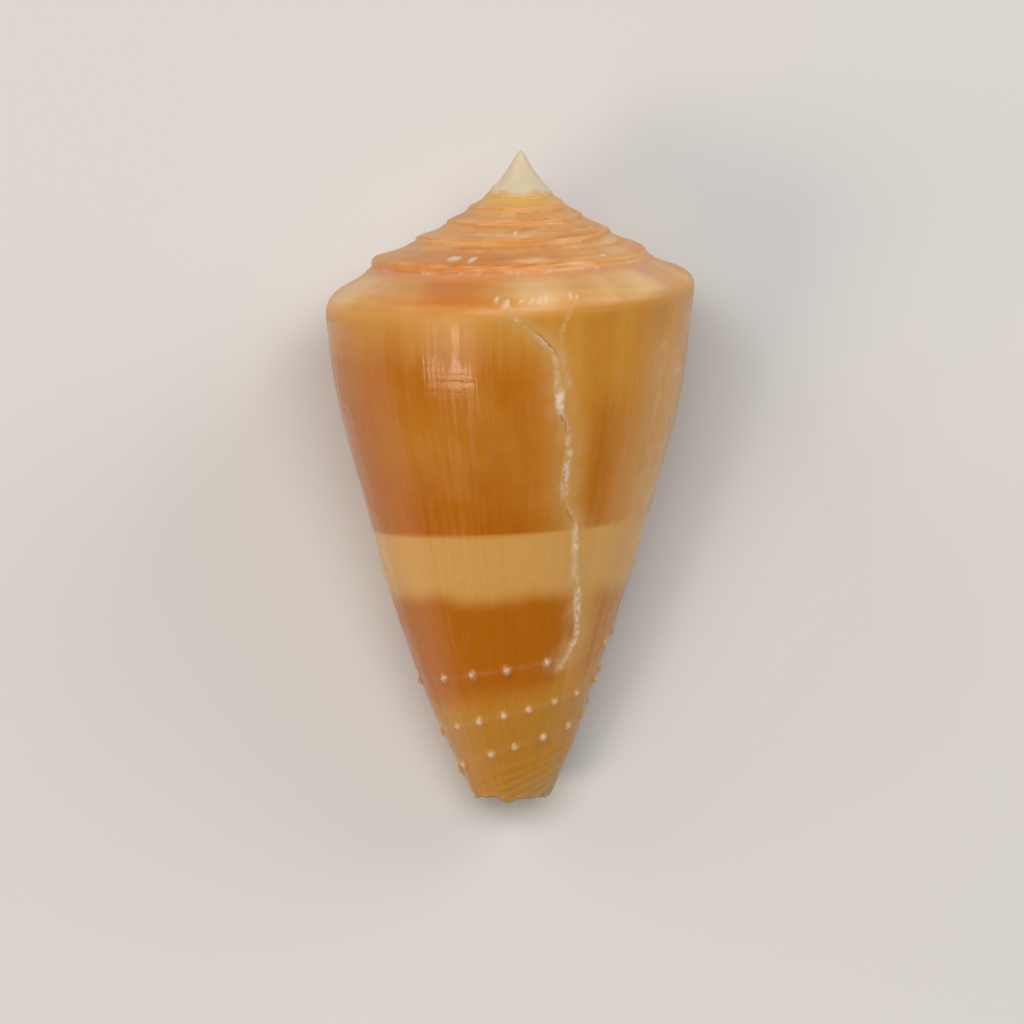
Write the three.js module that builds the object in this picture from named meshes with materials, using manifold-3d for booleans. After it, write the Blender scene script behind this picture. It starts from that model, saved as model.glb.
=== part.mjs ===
// Shell of a cone snail, Conus rawaiensis, lying with its aperture down.
//
// Lengths are millimetres and angles are degrees. The shell is drawn about its own coiling
// axis: a point has a growth angle, which runs from the right outline (0) over the back (90)
// to the left outline (180) and on under the shell, a radius from the axis, and a depth below
// the apex. It is then laid down, apex towards +Y, so that it rests on the plane z = 0.
import * as THREE from 'three';
import { mergeVertices } from 'three/addons/utils/BufferGeometryUtils.js';
import Module from 'manifold-3d';

const wasm = await Module();
wasm.setup();

// Driving dimensions of the coiled form
const LENGTH = 32;
const SHOULDER_RADIUS = 9.67;
const LEFT_OUTLINE = 180;
const LIP_ANGLE = 222;
const WHORLS = 6;
const FIRST_ANGLE = LIP_ANGLE - 360 * WHORLS;

// Each turn towards the apex shrinks the shoulder by this power of e, less in the last turn
const RADIUS_SHRINK = 0.357;
const LAST_SLOWING = 0.092;

// Depth of the shoulder one turn before the left outline, its change per turn, the last drop
const SPIRE_DEPTH = 5.29;
const DEPTH_SHRINK = 0.217;
const LAST_DROP = 0.75;

// Outline of the side, as shares of the shoulder's radius at even steps down to the base
const SIDE_OUTLINE = [1, 0.93, 0.8, 0.657, 0.475, 0.245];
// Each earlier turn is slimmer by this much more near the base
const BASE_TUCK = 1.33;
const COLUMELLA_RADIUS = 0.4;

// Ledges of the whorls, as shares of the shoulder's radius. The risers of the early whorls
// are lower by a share that grows over one turn, from so many turns back.
const RISER = 0.06;
const EARLY_LOWERING = 0.53;
const LOWERING_START = 0.92;
const EDGE_ROUNDING = 0.035;
const LAST_ROUNDING = 0.6;
const RAMP_HOLLOW = 0.1;

// First whorls: a slender cone with a blunt tip, radius from the root and square of depth
const APEX_BLUNTNESS = 0.38;
const APEX_FLARE = 0.247;

// Aperture: wall, its share left at the lip's thin edge, how far the hollow winds back
const WALL = 0.6;
const LIP_EDGE_SHARE = 0.45;
const LIP_TAPER_ANGLE = 25;
const HOLLOW_ANGLE = 240;
// The lip's edge bows forward at mid height and falls back at the shoulder
const LIP_BOW = 5;
const LIP_FALL_BACK = 9;
const LIP_BEND_ANGLE = 40;

const BASE_RAGGED = 0.09;

// Facets
const TURN_COLUMNS = 48;
const COLUMN_ANGLE = 360 / TURN_COLUMNS;
const RAMP_ROWS = 2;
const EDGE_ROWS = 2;
const FOOT_ROW = RAMP_ROWS + EDGE_ROWS + 1;
const SIDE_ROWS = 14;
const LAST_ROW = FOOT_ROW + SIDE_ROWS;
const LIP_COLUMN = TURN_COLUMNS * WHORLS;
const HOLLOW_COLUMNS = HOLLOW_ANGLE / COLUMN_ANGLE;
const APEX_RINGS = 4;

// Pointed granules on spiral rows round the lower side. A row has its depth below the apex at
// the right outline, its descent in half a turn, and the growth angles of its granules.
const GRANULE_RADIUS = 0.21;
const GRANULE_LENGTH = 0.36;
const GRANULE_PROUD = 0.2;
const GRANULE_SIDES = 5;
const GRANULE_ROWS = [
  { depth: 20.3, descent: 2, angles: [-96, -64, -32, 1] },
  { depth: 23.2, descent: 2.2, angles: [-112, -84, -56, -28, 0] },
  { depth: 23.8, descent: 2.6, angles: [-105, -82, -60, -37, -16, 5, 27, 74, 98, 119, 140, 178, 200] },
  {
    depth: 25.85,
    descent: 3,
    angles: [-114, -95, -75, -56, -37, -18, 0, 20, 46, 65, 84, 102, 121, 142, 179, 200],
  },
  { depth: 27.5, descent: 3.4, angles: [-97, -73, -49, -25, -2, 23, 45, 70, 95, 117, 156, 178, 198] },
];

// Spiral cords between the lowest granules and the base edge
const CORD_RADIUS = 0.15;
const CORD_STEP = 20;
const BASE_MARGIN = 0.35;
const CORDS = [
  { depth: 28.25, descent: 3.6, from: -110, to: 200 },
  { depth: 29.1, descent: 3.6, from: -110, to: 200 },
  { depth: 29.9, descent: 3.6, from: -110, to: 200 },
];

// Healed break in the last whorl, from the shoulder down, each place an angle and a depth
const HEALED_BREAK = [
  [98, 8.0],
  [91, 8.9],
  [84, 9.9],
  [78, 11.9],
  [74, 14.0],
  [71, 16.6],
  [69, 19.0],
  [66, 21.2],
  [62, 23.4],
  [65, 24.8],
];
const BREAK_RADIUS = 0.15;
const BREAK_STEPS = 18;
const RIDGE_PROUD = 0.08;
const RIDGE_SIDES = 3;

// How the shell lies: apex tipped up, and cut to a small flat contact
const TIP = 12.6;
const CONTACT_DEPTH = 0.06;

const { clamp, degToRad, lerp, smoothstep } = THREE.MathUtils;

/** Turns between a growth angle and the left outline of the last whorl. */
function turnsBack(angle) {
  return (LEFT_OUTLINE - angle) / 360;
}

/** Radius of the shoulder corner. */
function shoulderRadius(angle) {
  const turns = turnsBack(angle);
  const slowing = LAST_SLOWING * (1 - Math.exp(-2 * turns));
  return SHOULDER_RADIUS * Math.exp(slowing - RADIUS_SHRINK * turns);
}

/** Depth of the shoulder corner below the apex. */
function shoulderDepth(angle) {
  const turns = turnsBack(angle);
  const lastTurn = Math.max(0, 1 - turns);
  return SPIRE_DEPTH * Math.exp(DEPTH_SHRINK * (1 - turns)) + LAST_DROP * lastTurn ** 2;
}

/** Smooth curve through the evenly spaced shares of the side's outline. */
function sideShare(along) {
  const last = SIDE_OUTLINE.length - 1;
  const place = clamp(along, 0, 1) * last;
  const step = Math.min(Math.floor(place), last - 1);
  const slope = (n) => {
    const before = Math.max(n - 1, 0);
    const after = Math.min(n + 1, last);
    return (SIDE_OUTLINE[after] - SIDE_OUTLINE[before]) / (after - before);
  };
  const t = place - step;
  const blend = t * t * (3 - 2 * t);
  const level = lerp(SIDE_OUTLINE[step], SIDE_OUTLINE[step + 1], blend);
  return level + slope(step) * t * (1 - t) ** 2 - slope(step + 1) * t * t * (1 - t);
}

/** Depth of the worn, slightly ragged base edge. */
function baseDepth(angle) {
  const around = degToRad(angle);
  return LENGTH + BASE_RAGGED * (Math.sin(7 * around + 1) + 0.6 * Math.sin(13 * around + 2) - 1);
}

/** Point of a whorl's side as radius and depth, from its shoulder (0) to the base (1). */
function sidePoint(angle, along) {
  const tuck = BASE_TUCK * turnsBack(angle) * smoothstep(along, 0.2, 0.8);
  const radius = shoulderRadius(angle) * sideShare(along) - tuck;
  const bottom = lerp(LENGTH, baseDepth(angle), smoothstep(along, 0.9, 1));
  const depth = lerp(shoulderDepth(angle), bottom, along);
  return new THREE.Vector2(Math.max(radius, COLUMELLA_RADIUS), depth);
}

/** Radius of the smooth first whorls. */
function apexRadius(depth) {
  return APEX_BLUNTNESS * Math.sqrt(depth) + APEX_FLARE * depth ** 2;
}

/** Length of the rounding on each side of the shoulder corner. */
function edgeRounding(angle) {
  return EDGE_ROUNDING * shoulderRadius(angle) + LAST_ROUNDING * Math.max(0, 1 - turnsBack(angle));
}

/** Share of the side at which a length below the shoulder lies. */
function alongAt(angle, length) {
  return length / (LENGTH - shoulderDepth(angle));
}

/** Share of the side at the ledge's foot, where a later whorl meets this one. */
function footAlong(angle) {
  const early = smoothstep(turnsBack(angle), LOWERING_START, LOWERING_START + 1);
  const riser = RISER * (1 - EARLY_LOWERING * early) * shoulderRadius(angle);
  return alongAt(angle, Math.max(riser, 1.15 * edgeRounding(angle)));
}

/** Start of a whorl's ramp: on the whorl before it, or on the cone of the first whorls. */
function seamPoint(angle) {
  const before = angle - 360;
  const seam = sidePoint(before, footAlong(before));
  if (before < FIRST_ANGLE) seam.x = apexRadius(seam.y);
  return seam;
}

/** Ramp, rounded shoulder and riser of one whorl, from the seam above to its foot. */
function ledgeProfile(angle) {
  const seam = seamPoint(angle);
  const corner = new THREE.Vector2(shoulderRadius(angle), shoulderDepth(angle));
  const rounding = edgeRounding(angle);
  const rampShare = 1 - Math.min(0.5, rounding / corner.distanceTo(seam));
  const sagged = (share) => {
    const point = seam.clone().lerp(corner, share);
    point.y += RAMP_HOLLOW * (corner.x - seam.x) * 2 * share * (1 - share);
    return point;
  };
  const edgeEnd = sidePoint(angle, alongAt(angle, rounding));
  const edge = new THREE.QuadraticBezierCurve(sagged(rampShare), corner, edgeEnd);
  const profile = [];
  for (let row = 0; row < RAMP_ROWS; row += 1) profile.push(sagged((rampShare * row) / RAMP_ROWS));
  for (let row = 0; row <= EDGE_ROWS; row += 1) profile.push(edge.getPoint(row / EDGE_ROWS));
  profile.push(sidePoint(angle, footAlong(angle)));
  return profile;
}

/** Profile point of a row: ledge rows first, then rows down the side to the base. */
function profilePoint(angle, row) {
  if (row > FOOT_ROW) {
    const share = (row - FOOT_ROW) / SIDE_ROWS;
    return sidePoint(angle, lerp(footAlong(angle), 1, share));
  }
  const ledge = ledgeProfile(angle);
  const foot = ledge[ledge.length - 1];
  const depth = lerp(ledge[0].y, foot.y, row / FOOT_ROW);
  const smooth = new THREE.Vector2(apexRadius(depth), depth);
  const grown = smoothstep(angle, FIRST_ANGLE, FIRST_ANGLE + 360);
  return smooth.lerp(ledge[row], grown);
}

/** Forward (+) or backward (-) swing of a row near the lip. */
function lipSwing(angle, row) {
  const near = smoothstep(angle, LIP_ANGLE - LIP_BEND_ANGLE, LIP_ANGLE);
  const down = row / LAST_ROW;
  const fallBack = LIP_FALL_BACK * (1 - smoothstep(down, 0, 0.3));
  return near * (LIP_BOW * Math.sin(Math.PI * down) - fallBack);
}

/** Place about the coiling axis, which lies along Y with the apex at the origin. */
function placeAround(angle, radius, depth) {
  const around = degToRad(angle);
  return new THREE.Vector3(radius * Math.cos(around), -depth, radius * Math.sin(around));
}

/** Point on the outside of a whorl. */
function outerPoint(angle, row) {
  const swung = row === 0 ? angle : angle + lipSwing(angle, row);
  const { x, y } = profilePoint(swung, row);
  return placeAround(swung, x, y);
}

/** Point on the inside of the last whorl's wall. */
function innerPoint(angle, row) {
  const swung = angle + lipSwing(angle, row);
  const here = profilePoint(swung, row);
  const before = profilePoint(swung, Math.max(row - 1, 0));
  const after = profilePoint(swung, Math.min(row + 1, LAST_ROW));
  const run = after.sub(before).normalize();
  const taper = smoothstep(LIP_ANGLE - angle, 0, LIP_TAPER_ANGLE);
  const wall = WALL * lerp(LIP_EDGE_SHARE, 1, taper);
  const depth = row === LAST_ROW ? here.y : here.y + run.x * wall;
  const radius = Math.max(here.x - Math.abs(run.y) * wall, COLUMELLA_RADIUS + 0.1);
  return placeAround(swung, radius, depth);
}

/** Closed triangle mesh, with numbered corners. */
class ShellMesh {
  constructor() {
    this.corners = [];
    this.triangles = [];
    this.numbers = new Map();
  }

  /** Number of a corner that is made once and then found again by its name. */
  corner(name, make) {
    if (!this.numbers.has(name)) {
      this.numbers.set(name, this.corners.length);
      this.corners.push(make());
    }
    return this.numbers.get(name);
  }

  /** Corner on the outside, where a seam is shared with the whorl before. */
  outer(column, row) {
    if (row === 0 && column >= TURN_COLUMNS) return this.outer(column - TURN_COLUMNS, FOOT_ROW);
    const angle = FIRST_ANGLE + column * COLUMN_ANGLE;
    return this.corner(`outer ${column} ${row}`, () => outerPoint(angle, row));
  }

  /** Corner inside the wall, whose top is shared with the whorl before. */
  inner(column, row) {
    if (row === 0) return this.outer(column - TURN_COLUMNS, FOOT_ROW + 1);
    const angle = FIRST_ANGLE + column * COLUMN_ANGLE;
    return this.corner(`inner ${column} ${row}`, () => innerPoint(angle, row));
  }

  /** Corner on the cone of the first whorls, above the first seam. */
  apex(column, ring) {
    if (ring === 0) return this.corner('apex', () => new THREE.Vector3());
    if (ring === APEX_RINGS) return this.outer(column, 0);
    const angle = FIRST_ANGLE + column * COLUMN_ANGLE;
    return this.corner(`apex ${column} ${ring}`, () => {
      const depth = seamPoint(angle).y * (ring / APEX_RINGS) ** 2;
      return placeAround(angle, apexRadius(depth), depth);
    });
  }

  gap(first, second) {
    return this.corners[first].distanceTo(this.corners[second]);
  }

  /** Strip between two chains of corners, right and left as seen from outside, top first. */
  strip(right, left) {
    let r = 0;
    let l = 0;
    while (r < right.length - 1 || l < left.length - 1) {
      const canRight = r < right.length - 1;
      const canLeft = l < left.length - 1;
      const rightFirst =
        canRight &&
        (!canLeft || this.gap(right[r + 1], left[l]) <= this.gap(right[r], left[l + 1]));
      const next = rightFirst ? right[r + 1] : left[l + 1];
      const triangle = [right[r], left[l], next];
      if (new Set(triangle).size === 3) this.triangles.push(triangle);
      if (rightFirst) r += 1;
      else l += 1;
    }
  }

  /** Manifold solid of the mesh. */
  solid() {
    const vertProperties = Float32Array.from(this.corners.flatMap((corner) => corner.toArray()));
    const triVerts = Uint32Array.from(this.triangles.flat());
    return new wasm.Manifold(new wasm.Mesh({ numProp: 3, vertProperties, triVerts }));
  }
}

/** Whole numbers from first to last. */
function range(first, last) {
  return Array.from({ length: last - first + 1 }, (_, n) => first + n);
}

/** Spire, last whorl, hollow behind the lip and base, as one closed mesh. */
function coilMesh() {
  const mesh = new ShellMesh();
  const outerRows = (column, from, to) => range(from, to).map((row) => mesh.outer(column, row));
  const innerRows = (column) => range(0, LAST_ROW).map((row) => mesh.inner(column, row));
  const lastTurn = LIP_COLUMN - TURN_COLUMNS;
  const hollowStart = LIP_COLUMN - HOLLOW_COLUMNS;
  const coreStart = hollowStart - TURN_COLUMNS;

  // Cone of the first whorls
  const rings = (column) => range(0, APEX_RINGS).map((ring) => mesh.apex(column, ring));
  for (let column = 0; column < TURN_COLUMNS - 1; column += 1) {
    mesh.strip(rings(column), rings(column + 1));
  }
  mesh.strip(rings(TURN_COLUMNS - 1), [...rings(0), ...outerRows(0, 1, FOOT_ROW)]);

  // Outside: ledges alone on the spire, ledge and side on the last whorl
  for (let column = 0; column < LIP_COLUMN; column += 1) {
    const bottom = column < lastTurn ? FOOT_ROW : LAST_ROW;
    mesh.strip(outerRows(column, 0, bottom), outerRows(column + 1, 0, bottom));
  }

  // Hollow: the whorl before it, the inside of the wall, and its closed far end
  for (let column = coreStart; column < lastTurn; column += 1) {
    const top = FOOT_ROW + 1;
    mesh.strip(outerRows(column, top, LAST_ROW), outerRows(column + 1, top, LAST_ROW));
  }
  for (let column = hollowStart; column < LIP_COLUMN; column += 1) {
    mesh.strip(innerRows(column + 1), innerRows(column));
  }
  mesh.strip(innerRows(hollowStart), outerRows(coreStart, FOOT_ROW + 1, LAST_ROW));

  // Edge of the lip and of the wall's base
  mesh.strip(outerRows(LIP_COLUMN, 0, LAST_ROW), innerRows(LIP_COLUMN));
  const outerRim = range(hollowStart, LIP_COLUMN).map((column) => mesh.outer(column, LAST_ROW));
  const innerRim = range(hollowStart, LIP_COLUMN).map((column) => mesh.inner(column, LAST_ROW));
  mesh.strip(innerRim, outerRim);

  // End of the columella
  const tip = mesh.corner('base tip', () => placeAround(0, 0, LENGTH));
  const end = [
    ...range(lastTurn, hollowStart).map((column) => mesh.outer(column, LAST_ROW)),
    mesh.inner(hollowStart, LAST_ROW),
    ...range(coreStart, lastTurn).map((column) => mesh.outer(column, LAST_ROW)),
  ];
  for (let n = 0; n < end.length - 1; n += 1) mesh.triangles.push([end[n], end[n + 1], tip]);
  return mesh;
}

/** Outside point and outward direction on the last whorl's side, at a depth below the apex. */
function sideFrame(angle, depth) {
  const top = shoulderDepth(angle);
  const along = (depth - top) / (LENGTH - top);
  const place = (turn, share) => {
    const { x, y } = sidePoint(turn, share);
    return placeAround(turn, x, y);
  };
  const point = place(angle, along);
  const around = place(angle + 1, along).sub(point);
  const down = place(angle, along + 0.01).sub(point);
  return { point, outward: around.cross(down).normalize() };
}

/** Manifold solid of a closed three.js geometry. */
function solidOf(geometry) {
  const plain = geometry.clone();
  plain.deleteAttribute('normal');
  plain.deleteAttribute('uv');
  const merged = mergeVertices(plain, 1e-5);
  const vertProperties = Float32Array.from(merged.attributes.position.array);
  const triVerts = Uint32Array.from(merged.index.array);
  return new wasm.Manifold(new wasm.Mesh({ numProp: 3, vertProperties, triVerts }));
}

/** One pointed granule that stands on the side. */
function granule(angle, depth) {
  const { point, outward } = sideFrame(angle, depth);
  const cone = new THREE.ConeGeometry(GRANULE_RADIUS, GRANULE_LENGTH, GRANULE_SIDES);
  cone.applyQuaternion(new THREE.Quaternion().setFromUnitVectors(THREE.Object3D.DEFAULT_UP, outward));
  const middle = point.addScaledVector(outward, GRANULE_PROUD - GRANULE_LENGTH / 2);
  cone.translate(middle.x, middle.y, middle.z);
  return solidOf(cone);
}

/** All the granules of one spiral row. */
function granuleRow({ depth, descent, angles }) {
  return angles.map((angle) => granule(angle, depth + (descent * angle) / 180));
}

/** Low rounded ridge through places on the side, each an angle and a depth. */
function ridge(places, radius, steps) {
  const path = new THREE.CatmullRomCurve3(
    places.map(([angle, depth]) => {
      const { point, outward } = sideFrame(angle, depth);
      return point.addScaledVector(outward, RIDGE_PROUD - radius);
    }),
  );
  const section = new THREE.Shape();
  section.absarc(0, 0, radius, 0, 2 * Math.PI);
  const options = { steps, curveSegments: RIDGE_SIDES, bevelEnabled: false, extrudePath: path };
  return solidOf(new THREE.ExtrudeGeometry(section, options));
}

/** Spiral cord that runs round the base until it reaches the edge. */
function cord({ depth, descent, from, to }) {
  const places = [];
  for (let angle = from; angle <= to; angle += CORD_STEP) {
    const low = depth + (descent * angle) / 180;
    if (low < LENGTH - BASE_MARGIN) places.push([angle, low]);
  }
  return ridge(places, CORD_RADIUS, places.length);
}

/** Turns the coiled form so that its apex is raised and its aperture faces down. */
function layDown(solid) {
  const placement = new THREE.Matrix4().makeRotationX(degToRad(TIP));
  return solid.transform(placement.elements);
}

/** Cuts the lowest points off level and sets the origin at the bottom centre of the box. */
function setOnFloor(solid) {
  const { min, max } = solid.boundingBox();
  const level = -min[2] - CONTACT_DEPTH;
  const placed = solid.translate([-(min[0] + max[0]) / 2, -(min[1] + max[1]) / 2, level]);
  const below = new THREE.BoxGeometry(2 * LENGTH, 2 * LENGTH, LENGTH);
  below.translate(0, 0, -LENGTH / 2);
  return placed.subtract(solidOf(below));
}

/** Mesh geometry of a solid. */
function geometryOf(solid) {
  const { vertProperties, triVerts } = solid.getMesh();
  const geometry = new THREE.BufferGeometry();
  geometry.setAttribute('position', new THREE.BufferAttribute(vertProperties, 3));
  geometry.setIndex(new THREE.BufferAttribute(triVerts, 1));
  geometry.computeVertexNormals();
  return geometry;
}

/** The whole shell as one mesh. */
function makeShell() {
  const relief = [
    ...GRANULE_ROWS.flatMap(granuleRow),
    ...CORDS.map(cord),
    ridge(HEALED_BREAK, BREAK_RADIUS, BREAK_STEPS),
  ];
  const grown = relief.reduce((whole, piece) => whole.add(piece), coilMesh().solid());
  const material = new THREE.MeshStandardMaterial({ color: 0xb87a2e, roughness: 0.25 });
  const shell = new THREE.Mesh(geometryOf(setOnFloor(layDown(grown))), material);
  shell.name = 'shell';
  return shell;
}

const part = new THREE.Group();
part.add(makeShell());

export default part;
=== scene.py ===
"""Cone shell, Conus rawaiensis, lying with its aperture down on a plain pale floor.

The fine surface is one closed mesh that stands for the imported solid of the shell. It is drawn
in the shell's own frame, by growth angle about the coiling axis and by depth below the apex,
in millimetres and degrees, and is then laid down and scaled to metres. The growth angle runs
from the right outline (0) over the back (90) to the left outline (180) and on under the shell.
"""

from __future__ import annotations

import logging
import math
from dataclasses import dataclass, field
from enum import Enum

import bpy
import numpy as np
from mathutils import Matrix, Vector


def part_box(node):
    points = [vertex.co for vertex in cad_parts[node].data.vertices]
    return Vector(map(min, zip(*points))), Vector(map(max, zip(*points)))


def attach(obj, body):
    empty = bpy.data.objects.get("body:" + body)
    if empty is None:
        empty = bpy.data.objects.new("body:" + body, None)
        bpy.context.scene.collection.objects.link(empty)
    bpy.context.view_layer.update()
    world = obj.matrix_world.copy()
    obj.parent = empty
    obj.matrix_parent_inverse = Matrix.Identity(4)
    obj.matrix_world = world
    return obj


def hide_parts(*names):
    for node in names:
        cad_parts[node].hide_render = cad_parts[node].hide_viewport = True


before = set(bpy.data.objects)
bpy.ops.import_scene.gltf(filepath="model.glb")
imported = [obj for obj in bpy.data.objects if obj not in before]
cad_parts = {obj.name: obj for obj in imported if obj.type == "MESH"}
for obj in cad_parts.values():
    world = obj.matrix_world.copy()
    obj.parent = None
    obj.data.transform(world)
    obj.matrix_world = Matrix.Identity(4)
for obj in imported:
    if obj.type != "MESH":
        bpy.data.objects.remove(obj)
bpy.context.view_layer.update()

log = logging.getLogger("shell")

MM = 0.001
TURN = 360.0
LEFT_OUTLINE = 180.0
# Point that the camera looks at: so far left of the coiling axis, so far below the apex
VIEW_OFFSET = 0.42
VIEW_DEPTH = 17.85
# Share of a whorl's height that its ledge takes in the numbering of rows
LEDGE_SHARE = 0.26
Array = np.ndarray
Sockets = dict[str, bpy.types.NodeSocket]


class Zone(Enum):
    """Where a corner of the mesh lies, which decides the finish that it shows."""

    OUTSIDE = 0.0
    INSIDE = 1.0


def smoothstep(value: Array | float, low: Array | float, high: Array | float) -> Array:
    """Ease from 0 at low to 1 at high.

    Args:
        value: Numbers to ease.
        low: Value that gives 0.
        high: Value that gives 1.

    Returns:
        Eased numbers, of the broadcast shape.
    """
    share = np.clip((np.asarray(value, float) - low) / (np.asarray(high, float) - low), 0.0, 1.0)
    return share * share * (3.0 - 2.0 * share)


def bell(distance: Array | float, width: float) -> Array:
    """Smooth bump that is 1 at distance 0 and has the given half width."""
    return np.exp(-((np.asarray(distance, float) / width) ** 2))


def linear_colour(code: str) -> tuple[float, float, float, float]:
    """Turn an sRGB hex colour to linear.

    Args:
        code: Six hex digits.

    Returns:
        Linear red, green and blue, and full alpha.
    """
    shares = [int(code[n : n + 2], 16) / 255.0 for n in (0, 2, 4)]
    linear = [s / 12.92 if s <= 0.04045 else ((s + 0.055) / 1.055) ** 2.4 for s in shares]
    return (*linear, 1.0)


def mottle(across: Array | float, down: Array | float, seed: int, octaves: int = 3) -> Array:
    """Smooth seeded noise over a surface, about -1 to 1.

    Args:
        across: First coordinate; one unit is the longest wave.
        down: Second coordinate, in the same units.
        seed: Number that picks the pattern.
        octaves: How many finer waves are added.

    Returns:
        Noise of the broadcast shape of the coordinates.
    """
    across, down = np.broadcast_arrays(np.asarray(across, float), np.asarray(down, float))
    total = np.zeros(across.shape)
    cells = 128
    for octave in range(octaves):
        draw = np.random.default_rng(seed * 31 + octave).uniform(-1.0, 1.0, (cells, cells))
        a = across * 2.0**octave
        b = down * 2.0**octave
        i = np.floor(a).astype(int)
        j = np.floor(b).astype(int)
        u = smoothstep(a - i, 0.0, 1.0)
        v = smoothstep(b - j, 0.0, 1.0)
        i0, i1, j0, j1 = i % cells, (i + 1) % cells, j % cells, (j + 1) % cells
        top = draw[i0, j0] * (1 - u) + draw[i1, j0] * u
        low = draw[i0, j1] * (1 - u) + draw[i1, j1] * u
        total += (top * (1 - v) + low * v) * 0.6**octave
    return total


@dataclass(frozen=True)
class Coil:
    """Form of the coiled shell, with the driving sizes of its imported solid, in mm."""

    length: float = 32.0
    shoulder_radius: float = 9.67
    lip_angle: float = 222.0
    whorls: int = 6
    radius_shrink: float = 0.357
    last_slowing: float = 0.092
    spire_depth: float = 5.29
    depth_shrink: float = 0.217
    last_drop: float = 0.75
    side_outline: tuple[float, ...] = (1.0, 0.93, 0.8, 0.657, 0.475, 0.245)
    base_tuck: float = 1.33
    columella_radius: float = 0.4
    riser: float = 0.06
    early_lowering: float = 0.53
    lowering_start: float = 0.92
    edge_rounding: float = 0.035
    last_rounding: float = 0.6
    ramp_hollow: float = 0.1
    apex_bluntness: float = 0.48
    apex_flare: float = 0.228
    base_ragged: float = 0.09
    bite_depth: float = 0.17

    @property
    def first_angle(self) -> float:
        """Growth angle at which the ledges begin."""
        return self.lip_angle - TURN * self.whorls

    def turns_back(self, angle: Array) -> Array:
        """Turns between a growth angle and the left outline of the last whorl."""
        return (LEFT_OUTLINE - np.asarray(angle, float)) / TURN

    def corner_radius(self, angle: Array) -> Array:
        """Radius of the shoulder corner."""
        turns = self.turns_back(angle)
        slowing = self.last_slowing * (1.0 - np.exp(-2.0 * turns))
        return self.shoulder_radius * np.exp(slowing - self.radius_shrink * turns)

    def corner_depth(self, angle: Array) -> Array:
        """Depth of the shoulder corner below the apex."""
        turns = self.turns_back(angle)
        last = np.maximum(0.0, 1.0 - turns)
        spire = self.spire_depth * np.exp(self.depth_shrink * (1.0 - turns))
        return spire + self.last_drop * last**2

    def side_share(self, along: Array) -> Array:
        """Smooth curve through the evenly spaced shares of the side's outline."""
        outline = np.asarray(self.side_outline)
        slopes = np.gradient(outline)
        place = np.clip(along, 0.0, 1.0) * (len(outline) - 1)
        step = np.minimum(np.floor(place).astype(int), len(outline) - 2)
        t = place - step
        blend = t * t * (3.0 - 2.0 * t)
        level = outline[step] * (1.0 - blend) + outline[step + 1] * blend
        return level + slopes[step] * t * (1 - t) ** 2 - slopes[step + 1] * t * t * (1 - t)

    def base_depth(self, angle: Array) -> Array:
        """Depth of the worn, ragged base edge, without its small bites."""
        around = np.radians(angle)
        worn = np.sin(7 * around + 1) + 0.6 * np.sin(13 * around + 2) - 1
        return self.length + self.base_ragged * worn

    def base_bites(self, angle: Array) -> Array:
        """Depth of the small bites out of the base edge."""
        return self.bite_depth * smoothstep(mottle(angle / 15.0, 0.7, 81, 2), 0.1, 0.9)

    def side(self, angle: Array, along: Array) -> tuple[Array, Array]:
        """Radius and depth on a whorl's side, from its shoulder (0) to the base (1)."""
        tuck = self.base_tuck * self.turns_back(angle) * smoothstep(along, 0.2, 0.8)
        radius = self.corner_radius(angle) * self.side_share(along) - tuck
        near_base = smoothstep(along, 0.9, 1.0)
        bottom = self.length + (self.base_depth(angle) - self.length) * near_base
        top = self.corner_depth(angle)
        bitten = self.base_bites(angle) * smoothstep(along, 0.965, 1.0)
        depth = top + (bottom - top) * along - bitten
        return np.maximum(radius, self.columella_radius), depth

    def apex_radius(self, depth: Array) -> Array:
        """Radius of the smooth first whorls."""
        return self.apex_bluntness * np.sqrt(depth) + self.apex_flare * np.square(depth)

    def rounding(self, angle: Array) -> Array:
        """Length of the rounding on each side of the shoulder corner."""
        last = np.maximum(0.0, 1.0 - self.turns_back(angle))
        return self.edge_rounding * self.corner_radius(angle) + self.last_rounding * last

    def along_at(self, angle: Array, length: Array) -> Array:
        """Share of the side at a length below the shoulder."""
        return length / (self.length - self.corner_depth(angle))

    def foot_along(self, angle: Array) -> Array:
        """Share of the side at the ledge's foot, where a later whorl meets this one."""
        start = self.lowering_start
        early = smoothstep(self.turns_back(angle), start, start + 1.0)
        riser = self.riser * (1.0 - self.early_lowering * early) * self.corner_radius(angle)
        return self.along_at(angle, np.maximum(riser, 1.15 * self.rounding(angle)))

    def seam(self, angle: Array) -> tuple[Array, Array]:
        """Radius and depth of the start of a whorl's ramp."""
        before = np.asarray(angle, float) - TURN
        radius, depth = self.side(before, self.foot_along(before))
        return np.where(before < self.first_angle, self.apex_radius(depth), radius), depth

    def row_depth(self, angle: Array, depth: Array) -> Array:
        """Depth at the right outline of the spiral line through a place on the last whorl."""
        half_turns = np.asarray(angle, float) / 180.0
        high = depth - 1.3 * half_turns
        low = (depth + 2.375 * half_turns) / (1.0 + 0.21 * half_turns)
        return np.where(high < 17.5, high, low)


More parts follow.
